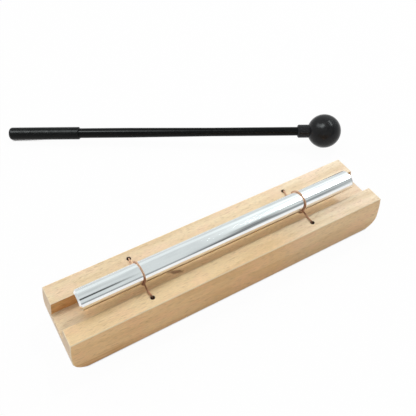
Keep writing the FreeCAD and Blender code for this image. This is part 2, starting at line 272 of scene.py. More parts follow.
@dataclass(frozen=True)
class BeechFinish:
    """Steamed beech, sanded and thinly oiled, with its grain along X.

    Values that end in grain are how many grains go in a metre along X, Y and Z. Values that end in span
    are where a tint starts and where it is full.

    Args:
        pale: the light wood between the flecks.
        deep: the darker bands.
        rosy: the pinkish tint that drifts over the surface.
        fleck: the short rays that show as dark dashes.
        worn: a painted highlight: the lighter wood of the eased edges, as if they caught the light.
        warm: the orange patch low on the left of the front.
        streak: a natural brown streak on the groove's floor.
        end: the wood across the grain.
        end_ring: what the faint arcs on the ends are multiplied with.
        end_pore: the same for the pores on the ends.
        hole_wall_shade: painted shade: the dark walls of the cord holes.
        right_painted_light: painted light: what the top is multiplied with towards its right end, paler
            where the light falls.
        front_painted_shade: painted shade: what most of the front rail is multiplied with, deeper except at
            its right end.
        side_painted_shade: painted shade: the same for the long sides, warmer and deeper than the top.
        wall_painted_shade: painted shade: the same for the groove's walls, darker and more orange.
        near_wall_painted_shade: painted shade: the same once more for the wall on the near side, which lies
            in the rod's shade.
        floor_painted_shade: painted shade: the same for the groove's floor, warm as light bounced in the
            rod's shade.
        floor_window: the middle, half length and soft edge of the floor's painted shade, along X, ending
            near the rod's ends.
        floor_top_span: the heights just above the floor, where its tint starts.
        floor_low_span: the heights just below the floor, where it ends.
        streak_place: how far the streak's pattern is moved.
        streak_turn: its angle about Z, in degrees.
        relief: the depth of the fibres, in metres.
    """

    name: str = "beech"
    pale: Colour = (0.87, 0.71, 0.475)
    deep: Colour = (0.745, 0.565, 0.34)
    rosy: Colour = (0.87, 0.64, 0.44)
    fleck: Colour = (0.50, 0.31, 0.15)
    worn: Colour = (0.98, 0.84, 0.62)
    warm: Colour = (0.72, 0.38, 0.13)
    streak: Colour = (0.22, 0.105, 0.045)
    end: Colour = (0.77, 0.585, 0.395)
    end_ring: Colour = (0.80, 0.74, 0.68)
    end_pore: Colour = (0.50, 0.42, 0.36)
    hole_wall_shade: Colour = (0.035, 0.018, 0.010)
    right_painted_light: Colour = (1.07, 1.11, 1.22)
    front_painted_shade: Colour = (1.04, 0.945, 0.79)
    side_painted_shade: Colour = (1.12, 0.97, 0.80)
    wall_painted_shade: Colour = (0.90, 0.64, 0.38)
    near_wall_painted_shade: Colour = (0.84, 0.78, 0.70)
    floor_painted_shade: Colour = (1.05, 0.985, 0.81)
    band_grain: Point = (14.0, 170.0, 110.0)
    drift_grain: Point = (70.0, 120.0, 120.0)
    fibre_grain: Point = (420.0, 2600.0, 2600.0)
    ray_grain: Point = (240.0, 1500.0, 1300.0)
    pore_grain: Point = (300.0, 2400.0, 2400.0)
    warm_grain: Point = (60.0, 500.0, 700.0)
    front_x_span: Span = (0.045, 0.02)
    front_y_span: Span = (-0.006, -0.010)
    right_x_span: Span = (0.035, 0.075)
    floor_window: Point = (-0.0025, 0.081, 0.006)
    floor_top_span: Span = (0.0180, 0.0172)
    floor_low_span: Span = (0.0165, 0.0169)
    streak_place: Point = (0.0284, 0.01476, 0.0)
    streak_turn: float = 26.3
    streak_z_span: Span = (0.0182, 0.0174)
    warm_x_span: Span = (-0.058, -0.084)
    warm_y_span: Span = (-0.0195, -0.0202)
    warm_z_span: Span = (0.0085, 0.0035)
    hole_wall_shade_span: Span = (0.00150, 0.00128)
    hole_z_span: Span = (0.02495, 0.0246)
    relief: float = 0.00012

    def make(self) -> bpy.types.Material:
        """Builds the material.

        Returns:
            The beech material.
        """
        material, g = new_material(self.name)
        place = g.node("ShaderNodeTexCoord").outputs["Object"]
        normal = g.node("ShaderNodeTexCoord").outputs["Normal"]
        fibres = g.noise(g.scaled(place, self.fibre_grain), 1.0, 2.0)
        rays = g.noise(g.scaled(place, self.ray_grain, (0.07, 0.02, 0.01)), 1.0, 1.0)
        fleck = g.product(g.smooth(rays, 0.585, 0.72), 0.42)

        colour = g.mix(fleck, self.board_colour(g, place), opaque(self.fleck))
        colour = g.mix(1.0, colour, g.grey(g.smooth(fibres, 0.25, 0.75, 0.88, 1.06)), "MULTIPLY")
        colour = self.add_painted_light_and_shade(g, colour, normal, place)
        colour = self.add_marks(g, colour, place)
        colour = self.add_end_grain(g, colour, normal, place)
        colour = self.add_edge_highlights(g, colour, normal)
        colour = self.add_hole_shade(g, colour, place)

        height = g.math("ADD", fibres, g.product(fleck, -1.2))
        rough = g.smooth(fibres, 0.2, 0.8, 0.42, 0.56)
        feeds = {"Base Color": colour, "Roughness": rough, "Normal": g.bump(height, 0.25, self.relief)}
        finish_surface(g, {**feeds, "Specular IOR Level": 0.35})
        return material

    @staticmethod
    def tint(g: NodeGraph, share: Feed, colour: Feed, tint: Colour) -> Socket:
        """Multiplies a share of a colour with a tint."""
        return g.mix(share, colour, opaque(tint), "MULTIPLY")

    def board_colour(self, g: NodeGraph, place: Socket) -> Socket:
        """Draws the bands along the grain, their rosy drift and the deeper front rail.

        Args:
            g: the material's graph.
            place: the place on the block.

        Returns:
            The colour without its rays and fibres.
        """
        x, y, _ = g.split(place)
        bands = g.noise(g.scaled(place, self.band_grain), 1.0, 3.0, 0.6)
        drift = g.noise(g.scaled(place, self.drift_grain, (0.3, 0.1, 0.0)), 1.0, 2.0)
        colour = g.mix(g.smooth(bands, 0.35, 0.68), opaque(self.pale), opaque(self.deep))
        colour = g.mix(g.product(g.smooth(drift, 0.42, 0.7), 0.65), colour, opaque(self.rosy))
        # Painted shade: most of the front rail is deepened, and its right end is left paler.
        front = g.product(g.smooth(y, *self.front_y_span), g.smooth(x, *self.front_x_span), 0.75)
        return self.tint(g, front, colour, self.front_painted_shade)

    def add_painted_light_and_shade(self, g: NodeGraph, colour: Socket, normal: Socket, place: Socket) -> Socket:
        """Tints the top's right end, the long sides and the inside of the groove.

        Args:
            g: the material's graph.
            colour: the colour so far.
            normal: the way that the surface faces.
            place: the place on the block.

        Returns:
            The tinted colour.
        """
        x, y, z = g.split(place)
        _, across, up = g.split(normal)
        # Painted light: the top turns paler towards its right end, where the light falls.
        right = g.product(g.smooth(x, *self.right_x_span), g.smooth(up, 0.6, 0.8))
        colour = self.tint(g, right, colour, self.right_painted_light)
        # Painted shade: the long sides are warmer and deeper than the top, and the groove's walls and floor
        # are shaded below.
        upright = g.smooth(g.math("ABSOLUTE", across), 0.6, 0.9)
        within = g.window(y, PLACES.groove_y * MM, PLACES.groove_half * MM, 0.0003)
        outside = g.product(upright, g.math("SUBTRACT", 1.0, within))
        colour = self.tint(g, outside, colour, self.side_painted_shade)
        # Painted shade: the groove's walls are darker and more orange, as in the groove's shade.
        colour = self.tint(g, g.product(upright, within), colour, self.wall_painted_shade)
        # Painted shade: the wall on the near side is darkened once more, under the rod.
        near_wall = g.product(g.smooth(across, 0.6, 0.9), within)
        colour = self.tint(g, near_wall, colour, self.near_wall_painted_shade)
        # Painted shade: the groove's floor is warmed like light bounced in the rod's shade, and the tint
        # ends near the ends of the rod.
        sunk = g.product(g.smooth(z, *self.floor_top_span), g.smooth(z, *self.floor_low_span))
        flat = g.math("SUBTRACT", 1.0, upright)
        sunk = g.product(sunk, flat, within, g.window(x, *self.floor_window))
        return self.tint(g, sunk, colour, self.floor_painted_shade)

    def add_marks(self, g: NodeGraph, colour: Socket, place: Socket) -> Socket:
        """Draws the brown streak on the groove's floor and the warm patch low on the left of the front.

        Args:
            g: the material's graph.
            colour: the colour so far.
            place: the place on the block.

        Returns:
            The marked colour.
        """
        x, y, z = g.split(place)
        turned = g.scaled(place, (1.0, 1.0, 1.0), self.streak_place, math.radians(self.streak_turn))
        along, over, _ = g.split(turned)
        wander = g.product(g.math("SUBTRACT", g.noise(place, 420.0), 0.5), 0.0022)
        line = g.window(g.math("ADD", over, wander), 0.0, 0.0004, 0.0011)
        length = g.window(along, 0.0, 0.003, 0.0028)
        mark = g.product(line, length, g.smooth(z, *self.streak_z_span), 0.8)
        colour = g.mix(mark, colour, opaque(self.streak))
        low = g.product(
            g.smooth(x, *self.warm_x_span), g.smooth(z, *self.warm_z_span), g.smooth(y, *self.warm_y_span)
        )
        streaks = g.smooth(g.noise(g.scaled(place, self.warm_grain), 1.0, 1.0), 0.38, 0.62, 0.25, 0.85)
        return g.mix(g.product(low, streaks), colour, opaque(self.warm))

    def add_end_grain(self, g: NodeGraph, colour: Socket, normal: Socket, place: Socket) -> Socket:
        """Greys the two ends and dots them with pores in faint arcs.

        Args:
            g: the material's graph.
            colour: the colour so far.
            normal: the way that the surface faces.
            place: the place on the block.

        Returns:
            The colour with its end grain.
        """
        ends = g.smooth(g.math("ABSOLUTE", g.split(normal)[0]), 0.72, 0.86)
        pores = g.noise(g.scaled(place, self.pore_grain), 1.0, 1.0)
        bent = g.scaled(place, (1.0, 1.0, 1.0), (0.0, 0.03, 0.09))
        feeds = {"Vector": bent, "Scale": 130.0, "Distortion": 1.2, "Detail": 2.0}
        rings = g.node("ShaderNodeTexWave", feeds, wave_type="RINGS", rings_direction="X").outputs[0]
        grain = self.tint(g, g.product(rings, 0.45), opaque(self.end), self.end_ring)
        grain = self.tint(g, g.product(g.smooth(pores, 0.58, 0.72), 0.45), grain, self.end_pore)
        return g.mix(ends, colour, grain)

    def add_edge_highlights(self, g: NodeGraph, colour: Socket, normal: Socket) -> Socket:
        """Lightens the eased edges, where the surface leans between two faces.

        Args:
            g: the material's graph.
            colour: the colour so far.
            normal: the way that the surface faces.

        Returns:
            The colour with its lighter edges.
        """
        # Painted highlight: every eased edge is lightened, as if it caught the light.
        x, y, z = (g.product(part, part) for part in g.split(normal))
        pairs = g.math("ADD", g.product(x, y), g.product(y, z))
        pairs = g.math("ADD", pairs, g.product(x, z))
        return g.mix(g.smooth(pairs, 0.02, 0.16, 0.0, 0.8), colour, opaque(self.worn))

    def add_hole_shade(self, g: NodeGraph, colour: Socket, place: Socket) -> Socket:
        """Darkens the walls of the four cord holes.

        Args:
            g: the material's graph.
            colour: the colour so far.
            place: the place on the block.

        Returns:
            The colour with its dark hole walls.
        """
        # Painted shade: the walls of the cord holes go nearly black below the top.
        near = g.smooth(from_hole(g, place), *self.hole_wall_shade_span)
        below = g.smooth(g.split(place)[2], *self.hole_z_span)
        return g.mix(g.product(near, below), colour, opaque(self.hole_wall_shade))


@dataclass(frozen=True)
class BarFinish:
    """Drawn aluminium bar, polished, with very fine lines along its length.

    Args:
        metal: the polished metal.
        dull: where the polish is a little clouded.
        turned: a painted reflection: the chamfer and face of the right end, grey-brown for the shaded wood
            that they mirror.
        line_grain: how many drawn lines go in a metre along X, Y and Z.
        cloud_grain: the same for the clouds.
        relief: the depth of the lines, in metres.
    """

    name: str = "bar"
    metal: Colour = (0.915, 0.92, 0.925)
    dull: Colour = (0.84, 0.85, 0.86)
    turned: Colour = (0.15, 0.115, 0.085)
    line_grain: Point = (9.0, 5200.0, 5200.0)
    cloud_grain: Point = (60.0, 300.0, 300.0)
    relief: float = 0.00002

    def make(self) -> bpy.types.Material:
        """Builds the material.

        Returns:
            The metal of the rod.
        """
        material, g = new_material(self.name)
        place = g.node("ShaderNodeTexCoord").outputs["Object"]
        lines = g.noise(g.scaled(place, self.line_grain), 1.0, 2.0)
        cloud = g.noise(g.scaled(place, self.cloud_grain), 1.0, 2.0)
        colour = g.mix(g.smooth(cloud, 0.35, 0.75), opaque(self.metal), opaque(self.dull))
        # Painted reflection: the right end's chamfer and face are coloured grey-brown in place of the shaded
        # wood that they mirror.
        end = g.smooth(g.split(g.node("ShaderNodeTexCoord").outputs["Normal"])[0], 0.3, 0.6)
        colour = g.mix(end, colour, opaque(self.turned))
        rough = g.math("MAXIMUM", g.smooth(lines, 0.25, 0.8, 0.06, 0.12), g.product(end, 0.35))
        feeds = {"Base Color": colour, "Metallic": 1.0, "Roughness": rough}
        finish_surface(g, {**feeds, "Normal": g.bump(lines, 0.05, self.relief)})
        return material


@dataclass(frozen=True)
class CordFinish:
    """Waxed brown cord, laid from three plies.

    Args:
        crown: the fibres that lie outermost.
        shade: the fibres between them.
        worn: where the cord is rubbed.
        cord_painted_light: painted light: the cord behind the rod and over its top, made paler where the
            light falls.
        cord_shade: painted shade: the cord in its holes and under the block, made dark.
        cord_painted_light_y_span: how far back the painted light starts and is full.
        cord_painted_light_z_span: how far up it starts and is full, over the rod.
        cord_shade_z_span: how far down the painted shade starts and is full.
        cord_shade_span: how far from a hole's axis it starts and is full.
        relief: the depth of the fibres, in metres.
    """

    name: str = "cord"
    crown: Colour = (0.56, 0.26, 0.135)
    shade: Colour = (0.25, 0.085, 0.035)
    worn: Colour = (0.74, 0.42, 0.27)
    cord_painted_light: Colour = (0.80, 0.54, 0.36)
    cord_shade: Colour = (0.07, 0.028, 0.014)
    cord_painted_light_y_span: Span = (0.001, 0.010)
    cord_painted_light_z_span: Span = (0.033, 0.037)
    cord_shade_z_span: Span = (0.0250, 0.0238)
    cord_shade_span: Span = (0.0012, 0.0006)
    relief: float = 0.00008

    def make(self) -> bpy.types.Material:
        """Builds the material.

        Returns:
            The material of both cords.
        """
        material, g = new_material(self.name)
        along = g.node("ShaderNodeAttribute", attribute_name="along").outputs["Fac"]
        round_ply = g.node("ShaderNodeAttribute", attribute_name="round_ply").outputs["Fac"]
        flat = g.node("ShaderNodeCombineXYZ", {0: g.product(along, 260.0), 1: round_ply}).outputs[0]
        fibres = g.noise(g.scaled(flat, (1.0, 22.0, 1.0)), 1.0, 3.0, 0.4)
        wear = g.noise(g.scaled(flat, (0.8, 0.2, 1.0)), 1.0, 2.0)
        colour = g.mix(g.smooth(fibres, 0.3, 0.7), opaque(self.shade), opaque(self.crown))
        colour = g.mix(g.smooth(wear, 0.45, 0.75, 0.0, 0.5), colour, opaque(self.worn))

        place = g.node("ShaderNodeTexCoord").outputs["Object"]
        _, y, z = g.split(place)
        # Painted light: the cord is paler behind the rod and over its top.
        pale = g.math("MAXIMUM", g.smooth(y, *self.cord_painted_light_y_span), g.smooth(z, *self.cord_painted_light_z_span))
        colour = g.mix(g.product(pale, 0.6), colour, opaque(self.cord_painted_light))
        # Painted shade: the cord goes dark inside the holes and below the block's top.
        inside = g.smooth(from_hole(g, place), *self.cord_shade_span)
        sunk = g.math("MAXIMUM", g.smooth(z, *self.cord_shade_z_span), inside)
        colour = g.mix(g.product(sunk, 0.9), colour, opaque(self.cord_shade))
        feeds = {"Base Color": colour, "Roughness": 0.5, "Specular IOR Level": 0.5}
        finish_surface(g, {**feeds, "Normal": g.bump(fibres, 0.5, self.relief)})
        return material


@dataclass(frozen=True)
class BlackFinish:
    """A black finish with a fine surface of its own.

    Args:
        colour: the finish's own colour.
        lighter: where the surface is rubbed paler.
        roughness: its lowest and highest roughness.
        grain: how many grains of the surface go in a metre.
        relief: the depth of the surface's grain, in metres.
        specular: the strength of its gloss.
        rub: how many rubbed patches go in a metre.
    """

    name: str
    colour: Colour
    lighter: Colour
    roughness: Span
    grain: float
    relief: float
    specular: float
    rub: float = 160.0

    def make(self) -> bpy.types.Material:
        """Builds the material.

        Returns:
            The black material.
        """
        material, g = new_material(self.name)
        place = g.node("ShaderNodeTexCoord").outputs["Object"]
        grain = g.noise(place, self.grain, 3.0)
        rub = g.noise(place, self.rub, 3.0)
        colour = g.mix(g.smooth(rub, 0.4, 0.75), opaque(self.colour), opaque(self.lighter))
        rough = g.smooth(grain, 0.3, 0.7, *self.roughness)
        feeds = {"Base Color": colour, "Roughness": rough, "Specular IOR Level": self.specular}
        finish_surface(g, {**feeds, "Normal": g.bump(grain, 0.4, self.relief)})
        return material


SHAFT_FINISH = BlackFinish(
    name="shaft",
    colour=(0.002, 0.002, 0.002),
    lighter=(0.003, 0.003, 0.003),
    roughness=(0.13, 0.20),
    grain=900.0,
    relief=0.00002,
    specular=0.12,
)
GRIP_FINISH = BlackFinish(
    name="grip",
    colour=(0.002, 0.002, 0.002),
    lighter=(0.005, 0.005, 0.005),
    roughness=(0.26, 0.38),
    grain=420.0,
    relief=0.00018,
    specular=0.15,
)
BALL_FINISH = BlackFinish(
    name="ball",
    colour=(0.014, 0.014, 0.015),
    lighter=(0.019, 0.019, 0.020),
    roughness=(0.20, 0.26),
    grain=1600.0,
    relief=0.000015,
    specular=0.15,
)


# Pieces


class Carrier(Enum):
    """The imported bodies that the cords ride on."""

    BLOCK = "block"
    SLINGS = "slings"


class Slot(Enum):
    """The record's material slots that new pieces use."""

    CORD = "cord"


def dress_node(frame: dict, node: str, material: bpy.types.Material) -> None:
    """Gives a carried-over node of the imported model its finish.

    Args:
        node: the node's name.
        material: its finish.
    """
    mesh = frame["nodes"][node].data
    mesh.materials.clear()
    mesh.materials.append(material)
    LOG.info("dressed %s with %s", node, material.name)


def add_object(name: str, data: Union[bpy.types.Mesh, bpy.types.Curve]) -> bpy.types.Object:
    """Puts a mesh or a curve into the scene at the origin.

    Args:
        name: the object's name.
        data: its mesh or curve.

    Returns:
        The new object.
    """
    piece = bpy.data.objects.new(name, data)
    bpy.context.scene.collection.objects.link(piece)
    return piece


def evaluated_mesh(source: bpy.types.Object) -> bpy.types.Mesh:
    """Reads what Blender makes of an object as a mesh of its own.

    Args:
        source: an object with a curve or with modifiers.

    Returns:
        The new mesh.
    """
    bpy.context.view_layer.update()
    ready = source.evaluated_get(bpy.context.evaluated_depsgraph_get())
    return bpy.data.meshes.new_from_object(ready)


@dataclass
class Block:
    """The beech block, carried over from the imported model."""

    finish: BeechFinish = BeechFinish()

    def build(self, frame: dict) -> None:
        """Dresses the block."""
        dress_node(frame, "block", self.finish.make())


@dataclass
class SoundingRod:
    """The aluminium rod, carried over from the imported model."""

    finish: BarFinish = BarFinish()

    def build(self, frame: dict) -> None:
        """Dresses the rod."""
        dress_node(frame, "chime_rod", self.finish.make())


@dataclass
class Mallet:
    """The mallet's shaft, grip and head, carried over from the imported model."""

    shaft: BlackFinish = SHAFT_FINISH
    grip: BlackFinish = GRIP_FINISH
    ball: BlackFinish = BALL_FINISH

    def build(self, frame: dict) -> None:
        """Dresses the three pieces.
        """
        dress_node(frame, "mallet_shaft", self.shaft.make())
        dress_node(frame, "mallet_grip", self.grip.make())
        dress_node(frame, "mallet_head", self.ball.make())


@dataclass(frozen=True)
class PlyTwist:
    """Geometry Nodes that lay round plies along a path.

    Args:
        plies: how many plies the cord is laid from.
        ply_mm: the radius of one ply.
        offset_mm: how far each ply's middle lies from the path.
        lay_mm: the length of one whole turn of a ply.
        step_mm: the length of one stretch of the mesh.
        corners: how many corners a ply has round it.
    """

    plies: int = 3
    ply_mm: float = 0.255
    offset_mm: float = 0.23
    lay_mm: float = 3.0
    step_mm: float = 0.28
    corners: int = 8

    def tree(self) -> bpy.types.NodeTree:
        """Builds the node group.

        Returns:
            A group that turns a line of edges into a laid cord.
        """
        group = bpy.data.node_groups.new("laid_cord", "GeometryNodeTree")
        self.add_sockets(group)
        g = NodeGraph(group)
        source = g.node("NodeGroupInput").outputs
        curve = g.node("GeometryNodeMeshToCurve", {"Mesh": source["Geometry"]}).outputs[0]
        feeds = {"Curve": curve, "Length": source["Step"]}
        even = g.node("GeometryNodeResampleCurve", feeds, mode="LENGTH").outputs[0]
        feeds = {"Geometry": even, "Amount": source["Plies"]}
        copies = g.node("GeometryNodeDuplicateElements", feeds, domain="SPLINE")
        length = g.node("GeometryNodeSplineParameter").outputs["Length"]
        marked = self.marked(g, copies.outputs["Geometry"], "along", length)
        offset = self.ply_offset(g, source, length, copies.outputs["Duplicate Index"])
        moved = g.node("GeometryNodeSetPosition", {"Geometry": marked, "Offset": offset}).outputs[0]

        feeds = {"Resolution": self.corners, "Radius": source["Ply Radius"]}
        ring = g.node("GeometryNodeCurvePrimitiveCircle", feeds).outputs[0]
        round_ply = g.node("GeometryNodeSplineParameter").outputs["Factor"]
        ring = self.marked(g, ring, "round_ply", round_ply)
        feeds = {"Curve": moved, "Profile Curve": ring, "Fill Caps": True}
        tube = g.node("GeometryNodeCurveToMesh", feeds).outputs[0]
        smooth = g.node("GeometryNodeSetShadeSmooth", {"Geometry": tube}).outputs[0]
        real = g.node("GeometryNodeRealizeInstances", {"Geometry": smooth}).outputs[0]
        feeds = {"Geometry": real, "Material": source["Finish"]}
        dressed = g.node("GeometryNodeSetMaterial", feeds).outputs[0]
        g.node("NodeGroupOutput", {0: dressed})
        return group

    @staticmethod
    def add_sockets(group: bpy.types.NodeTree) -> None:
        """Names what goes into the group and what comes out of it.

        Args:
            group: the empty node group.
        """
        faces = group.interface
        faces.new_socket("Geometry", in_out="INPUT", socket_type="NodeSocketGeometry")
        for name in ("Ply Radius", "Ply Offset", "Lay", "Step"):
            faces.new_socket(name, in_out="INPUT", socket_type="NodeSocketFloat")
        faces.new_socket("Plies", in_out="INPUT", socket_type="NodeSocketInt")
        faces.new_socket("Finish", in_out="INPUT", socket_type="NodeSocketMaterial")
        faces.new_socket("Geometry", in_out="OUTPUT", socket_type="NodeSocketGeometry")

    @staticmethod
    def marked(g: NodeGraph, geometry: Socket, name: str, value: Socket) -> Socket:
        """Stores a value on each point of a geometry under a name."""
        feeds = {"Geometry": geometry, "Name": name, "Value": value}
        return g.node("GeometryNodeStoreNamedAttribute", feeds, data_type="FLOAT", domain="POINT").outputs[0]

    def ply_offset(self, g: NodeGraph, source: dict, length: Socket, number: Socket) -> Socket:
        """Works out how far each point of a ply lies from the path.

        Args:
            g: the group's graph.
            source: the group's inputs.
            length: how far along the path the point lies.
            number: the ply's number.

        Returns:
            The offset as a vector.
        """
        lay = g.math("DIVIDE", length, source["Lay"])
        turns = g.math("ADD", lay, g.math("DIVIDE", number, source["Plies"]))
        angle = g.product(turns, math.tau)
        normal = g.node("GeometryNodeInputNormal").outputs[0]
        tangent = g.node("GeometryNodeInputTangent").outputs[0]
        side = g.vector("CROSS_PRODUCT", tangent, normal)
        reach = source["Ply Offset"]
        out = self.stretched(g, normal, g.product(g.math("COSINE", angle), reach))
        over = self.stretched(g, side, g.product(g.math("SINE", angle), reach))
        return g.vector("ADD", out, over)

    @staticmethod
    def stretched(g: NodeGraph, vector: Socket, length: Socket) -> Socket:
        """A vector times a length."""
        return g.node("ShaderNodeVectorMath", {0: vector, "Scale": length}, operation="SCALE").outputs[0]

    def lay(self, line: bpy.types.Mesh, name: str, finish: bpy.types.Material) -> bpy.types.Mesh:
        """Lays the plies along a line of edges.

        Args:
            line: the path as a mesh of edges.
            name: the name of the new mesh.
            finish: the material of the cord.

        Returns:
            The cord as one plain mesh, with the length along it in the attribute "along".
        """
        carrier = add_object(name, line)
        modifier = carrier.modifiers.new("laid_cord", "NODES")
        modifier.node_group = self.tree()
        values = {
            "Ply Radius": self.ply_mm * MM,
            "Ply Offset": self.offset_mm * MM,
            "Lay": self.lay_mm * MM,
            "Step": self.step_mm * MM,
            "Plies": self.plies,
            "Finish": finish,
        }
        for item in modifier.node_group.interface.items_tree:
            if item.in_out == "INPUT" and item.name in values:
                modifier[item.identifier] = values[item.name]
        mesh = evaluated_mesh(carrier)
        carrier.modifiers.clear()
        bpy.data.objects.remove(carrier)
        return mesh


# The overhand knot at each end of a cord, as places from its middle in millimetres. It starts at the
# cut tail and ends above the knot, on the way up into the hole.
KNOT_MM: tuple[Point, ...] = (
    (0.35, 0.15, -2.9),
    (0.7, -0.3, -2.2),
    (1.5, -1.2, -1.4),
    (1.68, -0.96, -0.6),
    (0.0, -0.88, -0.6),
    (-0.75, -0.44, 0.6),
    (-1.68, 0.96, 0.6),
    (0.0, 1.92, -0.6),
    (0.75, 0.44, -0.6),
    (0.75, -0.44, 0.6),
    (0.0, -1.92, 0.6),
    (-1.68, -0.96, -0.6),
    (-0.75, 0.44, -0.6),
    (0.0, 0.88, 0.6),
    (1.68, 0.96, 0.6),
    (1.5, 1.1, 1.4),
    (0.3, 0.4, 1.8),
    (0.0, 0.0, 2.8),
)


@dataclass
class Sling:
    """One cord: knotted under the block, up a hole, once round the rod and down the other hole.

    Args:
        name: the node that it stands for.
        hole_x_mm: where its two holes are along the block.
        back_mm: its way from the back hole to the rod.
        turn_mm: how far along the rod it lies at each corner of its turn, from the hole's place.
        front_mm: its way from the rod to the front hole.
        knot_z_mm: the height of a knot's middle.
        corner_mm: how far each corner of its turn lies from the rod's axis.
        corner_step: the angle from one corner to the next, in degrees.
        first_corner: the angle of the first corner about the rod's axis.
        groove_mm: where it starts to bend as the rod bounces, in front and at the back.
        free_mm: from where on it follows the rod, in front and at the back.
        twist: how its plies are laid.
    """

    name: str
    hole_x_mm: float
    back_mm: tuple[Point, ...]
    turn_mm: tuple[float, ...]
    front_mm: tuple[Point, ...]
    knot_z_mm: float = 3.25
    corner_mm: float = 7.09
    corner_step: float = 45.0
    first_corner: float = 292.5
    groove_mm: Span = (-9.4, 7.5)
    free_mm: Span = (-3.4, 0.6)
    twist: PlyTwist = PlyTwist()

    def knot(self, way: int) -> list[Vector]:
        """The knot under the hole that lies this way in Y, from its tail up."""
        middle = Vector((self.hole_x_mm, way * PLACES.hole_y, self.knot_z_mm))
        return [middle + Vector((x, way * y, z)) for x, y, z in KNOT_MM]

    def turn(self) -> list[Vector]:
        """Finds the corners of the cord's turn round the rod.

        Returns:
            The corners in millimetres, from the back to the front.
        """
        corners = []
        for number, along in enumerate(self.turn_mm):
            angle = math.radians(self.first_corner - number * self.corner_step)
            y = PLACES.rod_y + self.corner_mm * math.cos(angle)
            z = PLACES.rod_z + self.corner_mm * math.sin(angle)
            corners.append(Vector((self.hole_x_mm + along, y, z)))
        return corners

    def line(self) -> tuple[bpy.types.Mesh, Vector, Vector]:
        """Draws the cord's path as a spline.

        Returns:
            The path as a mesh of edges, and the two places under the rod where the cord is parted.
        """
        turn = self.turn()
        route = self.knot(1) + [Vector(p) for p in self.back_mm] + turn
        route += [Vector(p) for p in self.front_mm] + self.knot(-1)[::-1]
        curve = bpy.data.curves.new(self.name + "_path", "CURVE")
        curve.dimensions = "3D"
        spline = curve.splines.new("NURBS")
        spline.points.add(len(route) - 1)
        for point, place in zip(spline.points, route):
            point.co = (*(place * MM), 1.0)
        spline.order_u = 3
        spline.use_endpoint_u = True
        spline.resolution_u = 12
        guide = add_object(self.name + "_path", curve)
        mesh = evaluated_mesh(guide)
        bpy.data.objects.remove(guide)
        first = (turn[0] + turn[1]) / 2 * MM
        last = (turn[-2] + turn[-1]) / 2 * MM
        return mesh, first, last

    @staticmethod
    def length_at(line: bpy.types.Mesh, place: Vector) -> float:
        """Measures how far along the path a place lies.

        Args:
            line: the path as a mesh of edges.
            place: a place on it.

        Returns:
            The length in metres.
        """
        spots = [vertex.co for vertex in line.vertices]
        nearest = min(range(len(spots)), key=lambda number: (spots[number] - place).length)
        return sum((spots[n + 1] - spots[n]).length for n in range(nearest))

    @staticmethod
    def stretch(mesh: bpy.types.Mesh, name: str, start: float, end: float) -> bpy.types.Object:
        """Takes the stretch of cord between two lengths.

        Args:
            mesh: the whole cord.
            name: the new piece's name.
            start: the length along the cord where the stretch starts.
            end: the length where it ends.

        Returns:
            The new piece.
        """
        work = bmesh.new()
        work.from_mesh(mesh)
        along = work.verts.layers.float["along"]
        drop = []
        for face in work.faces:
            middle = sum(vertex[along] for vertex in face.verts) / len(face.verts)
            if not start <= middle < end:
                drop.append(face)
        bmesh.ops.delete(work, geom=drop, context="FACES")
        part = bpy.data.meshes.new(name)
        work.to_mesh(part)
        work.free()
        part.materials.clear()
        part.materials.append(mesh.materials[0])
        return add_object(name, part)

    def build(self, finish: bpy.types.Material) -> None:
        """Lays the cord, parts it under the rod and joins its pieces to the bodies.

        Args:
            finish: the cord's material.
        """
        line, first, last = self.line()
        path_length = self.length_at(line, line.vertices[-1].co)
        cuts = (-math.inf, self.length_at(line, first), self.length_at(line, last), math.inf)
        mesh = self.twist.lay(line, self.name + "_laid", finish)
        back, turn, front = (
            self.stretch(mesh, "{}_{}".format(self.name, part), start, end)
            for part, start, end in zip(("back", "turn", "front"), cuts, cuts[1:])
        )
        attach(turn, Carrier.SLINGS.value)
        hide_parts(self.name)
        for piece, edge_mm, free_mm in zip((front, back), self.groove_mm, self.free_mm):
            start = (self.hole_x_mm * MM, edge_mm * MM, PLACES.rod_z * MM)
            end = (self.hole_x_mm * MM, free_mm * MM, PLACES.rod_z * MM)
            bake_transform(piece, Carrier.BLOCK.value, Carrier.SLINGS.value, start=start, end=end)
        for piece in (back, turn, front):
            LOG.info("%s: %d faces", piece.name, len(piece.data.polygons))
        LOG.info("%s: %.1f mm of cord", self.name, path_length / MM)


LEFT_SLING = Sling(
    name="cord_left",
    hole_x_mm=-PLACES.hole_x,
    back_mm=((-52.2, 14.8, 23.1), (-52.25, 14.8, 25.95), (-52.6, 12.0, 25.85)),
    turn_mm=(-1.3, -1.45, -1.35, 0.0, -0.3, -0.6, -1.2, -0.1, 0.05, 0.2),
    front_mm=((-52.7, -8.6, 25.45), (-52.75, -12.0, 25.8), (-52.3, -14.8, 25.9), (-52.2, -14.8, 23.1)),
)
RIGHT_SLING = Sling(
    name="cord_right",
    hole_x_mm=PLACES.hole_x,
    back_mm=((52.25, 14.8, 23.1), (52.25, 14.8, 25.95), (51.6, 12.0, 25.85), (51.2, 9.0, 25.6)),
    turn_mm=(-2.9, -3.0, -2.95, -0.75, -1.05, -1.15, -2.65, -0.9, 0.0, 0.75),
    front_mm=((52.1, -8.6, 25.45), (51.5, -12.0, 25.8), (51.75, -14.8, 25.9), (51.9, -14.8, 23.1)),
)


# Studio


@dataclass(frozen=True)
class Reflector:
    """Something in the studio that only glossy surfaces see, as a soft patch of the sky.

    Args:
        height: its middle as an angle about X: 0 behind, 90 overhead and 180 in front.
        reach: half its extent and its soft edge in that angle.
        side: its middle along X, as part of a unit direction.
        span: half its extent and its soft edge along X.
        light: what it adds to the light there, or takes away.
    """

    height: float
    reach: Span
    side: float
    span: Span
    light: float


